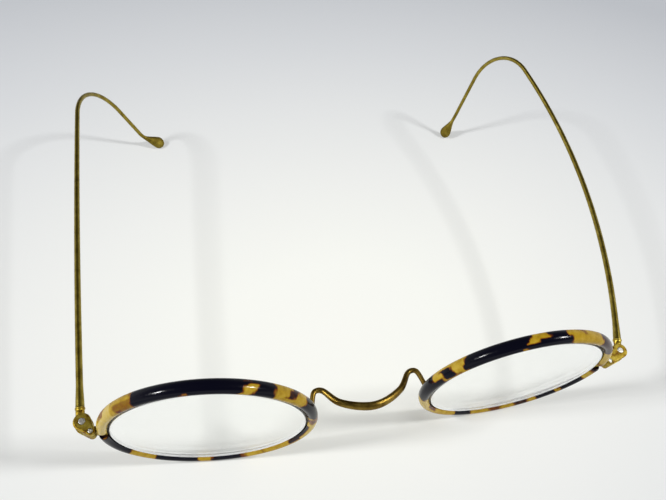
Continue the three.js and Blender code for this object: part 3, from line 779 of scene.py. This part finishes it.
def templeRings(spec, leg):
    # five stretches end to end: shaft, bend, leg, curl and paddle, with the sizes read from the run
    way = [
        direction(spec["side"], spec["splayStart"], spec["rise"]),
        direction(spec["side"], spec["splayEnd"], spec["rise"]),
        direction(spec["side"], spec["legTurn"], spec["legRise"]),
        direction(spec["side"], spec["tipTurn"], spec["tipRise"]),
    ]
    curl = spec["tip"] - temple["paddleLength"]
    stretches = [
        (way[0], way[1], spec["shaft"]), (way[1], way[2], spec["bend"]), (way[2], way[2], leg),
        (way[2], way[3], curl), (way[3], way[3], temple["paddleLength"]),
    ]
    total = sum(length for start, end, length in stretches)
    point = firstSpots(spec, butt["collarEnd"] + front["clearance"])
    up = np.array([0.0, 0, 1])
    done = 0
    parts = []
    for (start, end, length), count in zip(stretches, temple["stations"]):
        share = np.linspace(0, 1, count + 1)
        if start is way[3]:
            share = np.sin(share * np.pi / 2)  # closer stations towards the rounded end
        line, ways, ups = bentStretch(point, up, start, end, length, share)
        parts.append((line, ways, ups, done + share * length))
        point, up, done = line[-1], ups[-1], done + length
    firstKept = (0, 1, 1, 1, 1)  # a later stretch starts on the last point of the one before
    line, ways, ups, run = (
        np.concatenate([part[k][first:] for part, first in zip(parts, firstKept)]) for k in range(4)
    )
    tipShare = (run - total) / temple["flareLength"] + 1
    ahead = np.clip(1 - run / total, 0, 1) ** temple["taperPower"]
    taper = temple["thinEnd"] + (temple["thickEnd"] - temple["thinEnd"]) * ahead
    taper = taper + (temple["swellRadius"] - temple["thickEnd"]) * (1 - smooth(run, 0, temple["swellLength"]))
    flatten = smooth(tipShare, 0, temple["flatShare"])
    widen = smooth(tipShare, 0, temple["flareShare"])
    past = np.clip(tipShare - 1 + temple["roundShare"], 0, None) / temple["roundShare"]
    rounding = np.sqrt(1 - temple["roundDrop"] * past ** 2)
    halfWidth = rounding * (taper + (temple["paddleThickness"] / 2 - taper) * flatten)
    halfHeight = rounding * (taper + (temple["paddleWidth"] / 2 - taper) * widen)
    dull = temple["tipDull"] * smooth(tipShare, temple["dullFrom"], temple["dullTo"])
    return wireRings(line, ways, ups, halfWidth, halfHeight, temple["around"]), dull


for name, spec in sides.items():
    lean = math.radians(spec["lean"])
    tableUp = np.array([0, math.sin(lean), math.cos(lean)])
    fall = -direction(spec["side"], spec["legTurn"], spec["legRise"]) @ tableUp
    lowest = (templeRings(spec, 0)[0] @ tableUp).min()
    leg = (lensHeight(spec) + lowest) / fall  # the tip then meets the table
    rings, dull = templeRings(spec, leg)
    points, faces = capped(toPart(spec, rings))
    obj = newObject("templeWire_" + name, points, faces)
    tarnishRings(obj, dull, temple["around"])
    fit(obj, "temple_" + name, wireGold)
print("temples done")

# Floor, light and camera
studio = {
    "lamps": [("leftLamp", (-0.76, -0.047, 0.647), 14.6), ("rightLamp", (0.645, -0.197, 0.738), 12.6)],
    "distance": 1.5, "lampSize": 0.21, "floorHalf": 1.5,
    "camera": (-37.719, -98.372, 146.494), "yaw": -20.29, "pitch": 53.16, "roll": 10.27,
    "focalPixels": 660, "imageWidth": 666, "sensor": 36, "nearest": 0.001,
}
# The floor's shade is painted: a pool of light, brightest at one place, falling off with the stretched
# distance from it, and lighter again far out
paperPaintedLight = {
    "stretch": (0.7, 1, 1), "brightest": (-0.003, -0.02, 0), "glow": 0.36,
    # metres from the brightest place, and the painted shade there
    "stops": [
        (0.0, 0.945, 0.95, 0.9), (0.02, 0.935, 0.945, 0.895), (0.052, 0.855, 0.865, 0.845),
        (0.082, 0.77, 0.783, 0.785), (0.112, 0.675, 0.692, 0.712), (0.17, 0.51, 0.53, 0.565),
        (0.3, 0.52, 0.54, 0.57), (0.9, 0.66, 0.68, 0.7),
    ],
}
roomLight = {
    "walls": [(0.0, 0.95), (0.2, 0.85), (0.42, 0.3), (0.7, 0.1), (1.0, 0.06)],  # by height
    "opened": [(0.0, 0.25), (0.9, 1.0)],  # by the share to either side
    "lowFront": [(0.0, 0.95), (0.3, 0.95), (0.42, 0.0)],  # by height
    "facing": [(0.0, 0.0), (0.55, 1.0)],  # by the share towards the front
}
half = studio["floorHalf"]
mesh = bpy.data.meshes.new("floor")
mesh.from_pydata([(-half, -half, 0), (half, -half, 0), (half, half, 0), (-half, half, 0)], [], [(0, 1, 2, 3)])
floor = bpy.data.objects.new("floor", mesh)
scene.collection.objects.link(floor)
paper, tree, shader = newFinish("palePaper", {"Roughness": 0.7, "Specular IOR Level": 0.2})
place = addNode(tree, "TexCoord", {}).outputs["Object"]
place = addNode(tree, "Mapping", {"Vector": place, "Scale": paperPaintedLight["stretch"]}).outputs["Vector"]
away = addNode(tree, "VectorMath", {0: place, 1: paperPaintedLight["brightest"]}, operation="DISTANCE")
shade = addRamp(tree, away.outputs["Value"], paperPaintedLight["stops"])
# a painted glow that only camera, glossy and transmission rays see: seen directly, in metal or through glass,
# part of the paper's painted shade is its own glow
rays = addNode(tree, "LightPath", {}).outputs
seen = reckon(tree, "MAXIMUM", rays["Is Camera Ray"], rays["Is Glossy Ray"])
seen = reckon(tree, "MAXIMUM", seen, rays["Is Transmission Ray"])
glow = reckon(tree, "MULTIPLY", seen, paperPaintedLight["glow"])
rest = reckon(tree, "SUBTRACT", 1.0, glow)
matt = addNode(tree, "VectorMath", {0: shade, "Scale": rest}, operation="SCALE").outputs["Vector"]
feed(tree, shader, "Base Color", matt)
feed(tree, shader, "Emission Color", shade)
feed(tree, shader, "Emission Strength", glow)
mesh.materials.append(paper)

# The room: pale walls, brighter low down and to the sides, and a low window in front
world = bpy.data.worlds.new("room")
scene.world = world
world.use_nodes = True
tree = world.node_tree
ways = addNode(tree, "SeparateXYZ", {"Vector": addNode(tree, "TexCoord", {}).outputs["Generated"]}).outputs
walls = addRamp(tree, ways["Z"], roomLight["walls"])
opened = addRamp(tree, reckon(tree, "ABSOLUTE", ways["X"]), roomLight["opened"], "EASE")
lowFront = addRamp(tree, ways["Z"], roomLight["lowFront"])
facing = addRamp(tree, reckon(tree, "MULTIPLY", ways["Y"], -1.0), roomLight["facing"], "EASE")
room = reckon(tree, "MULTIPLY", walls, opened)
window = reckon(tree, "MULTIPLY", lowFront, facing)
room = reckon(tree, "MAXIMUM", room, window)
tree.links.new(room, tree.nodes["Background"].inputs["Color"])

for lampName, aim, power in studio["lamps"]:
    lamp = bpy.data.lights.new(lampName, "AREA")
    lamp.shape = "DISK"
    lamp.size = studio["lampSize"]
    lamp.energy = power
    obj = bpy.data.objects.new(lampName, lamp)
    obj.location = Vector(aim).normalized() * studio["distance"]
    obj.rotation_euler = Vector(aim).to_track_quat("Z", "Y").to_euler()
    scene.collection.objects.link(obj)

view = bpy.data.cameras.new("camera")
view.lens = studio["focalPixels"] / studio["imageWidth"] * studio["sensor"]
view.sensor_width = studio["sensor"]
view.clip_start = studio["nearest"]
camera = bpy.data.objects.new("camera", view)
turn = turnAbout("Z", studio["yaw"]) @ turnAbout("X", 90 - studio["pitch"]) @ turnAbout("Z", studio["roll"])
camera.matrix_world = Matrix.Translation(Vector(studio["camera"]) * metre) @ Matrix(turn.tolist()).to_4x4()
scene.collection.objects.link(camera)
scene.camera = camera
scene.view_settings.view_transform = "Standard"
print("studio ready")
